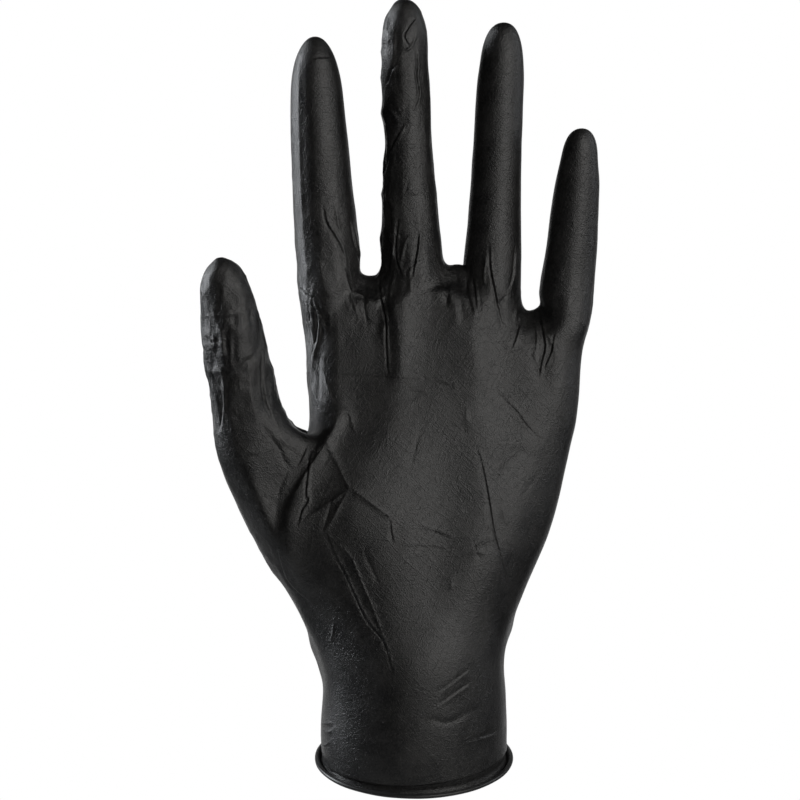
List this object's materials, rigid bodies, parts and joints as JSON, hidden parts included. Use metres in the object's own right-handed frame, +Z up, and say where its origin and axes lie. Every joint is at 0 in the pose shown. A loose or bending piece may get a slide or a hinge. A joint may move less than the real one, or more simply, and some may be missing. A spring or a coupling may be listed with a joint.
{
  "type": "latex glove",
  "caption": "Thin dipped film glove with separate fingers, a thumb and a short open cuff that ends in a rolled edge, filled out as when it is worn, with the palm to the front.",
  "frame": {"origin": "the middle of the cuff's mouth, where the arm goes in", "axes": "+Z runs up the palm to the fingertips, -Y is the palm's side, +Y the back of the hand, -X the thumb's side"},
  "size_m": [0.1189, 0.0627, 0.238],
  "materials": {
    "film": "satin black film with a fine grain and a soft, broad sheen",
    "rolled_edge": "the same film rolled up, a little smoother and darker"
  },
  "bodies": {
    "root": {"glove_shell": "film", "rolled_bead": "rolled_edge"}
  },
  "joints": []
}
